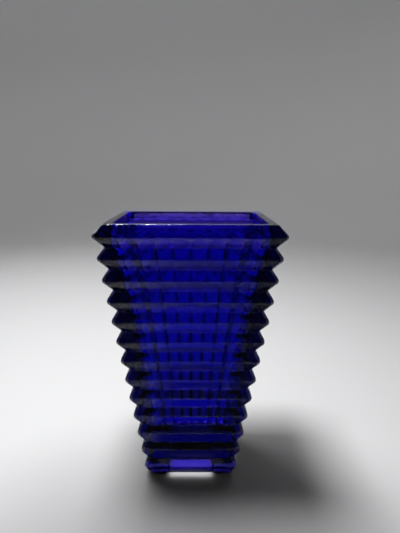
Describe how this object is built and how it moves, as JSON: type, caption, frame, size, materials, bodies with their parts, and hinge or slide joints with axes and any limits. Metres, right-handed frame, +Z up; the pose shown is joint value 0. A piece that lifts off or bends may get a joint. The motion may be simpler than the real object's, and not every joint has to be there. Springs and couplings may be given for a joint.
{
  "type": "crystal vase",
  "caption": "Tall tapered rectangular vase in cobalt-blue cut crystal, with stacked horizontal ridges outside, upright ribs inside, a polished rim and four corner feet.",
  "frame": {"origin": "middle of the four feet, on the surface the vase stands on", "axes": "+Z up through the mouth, +X along the wide side, -Y out of the wide front"},
  "size_m": [0.1544, 0.1152, 0.25],
  "materials": {
    "cobalt_crystal": "polished, wheel-cut and clear"
  },
  "bodies": {
    "root": {"crystal_body": "cobalt_crystal"}
  },
  "joints": []
}
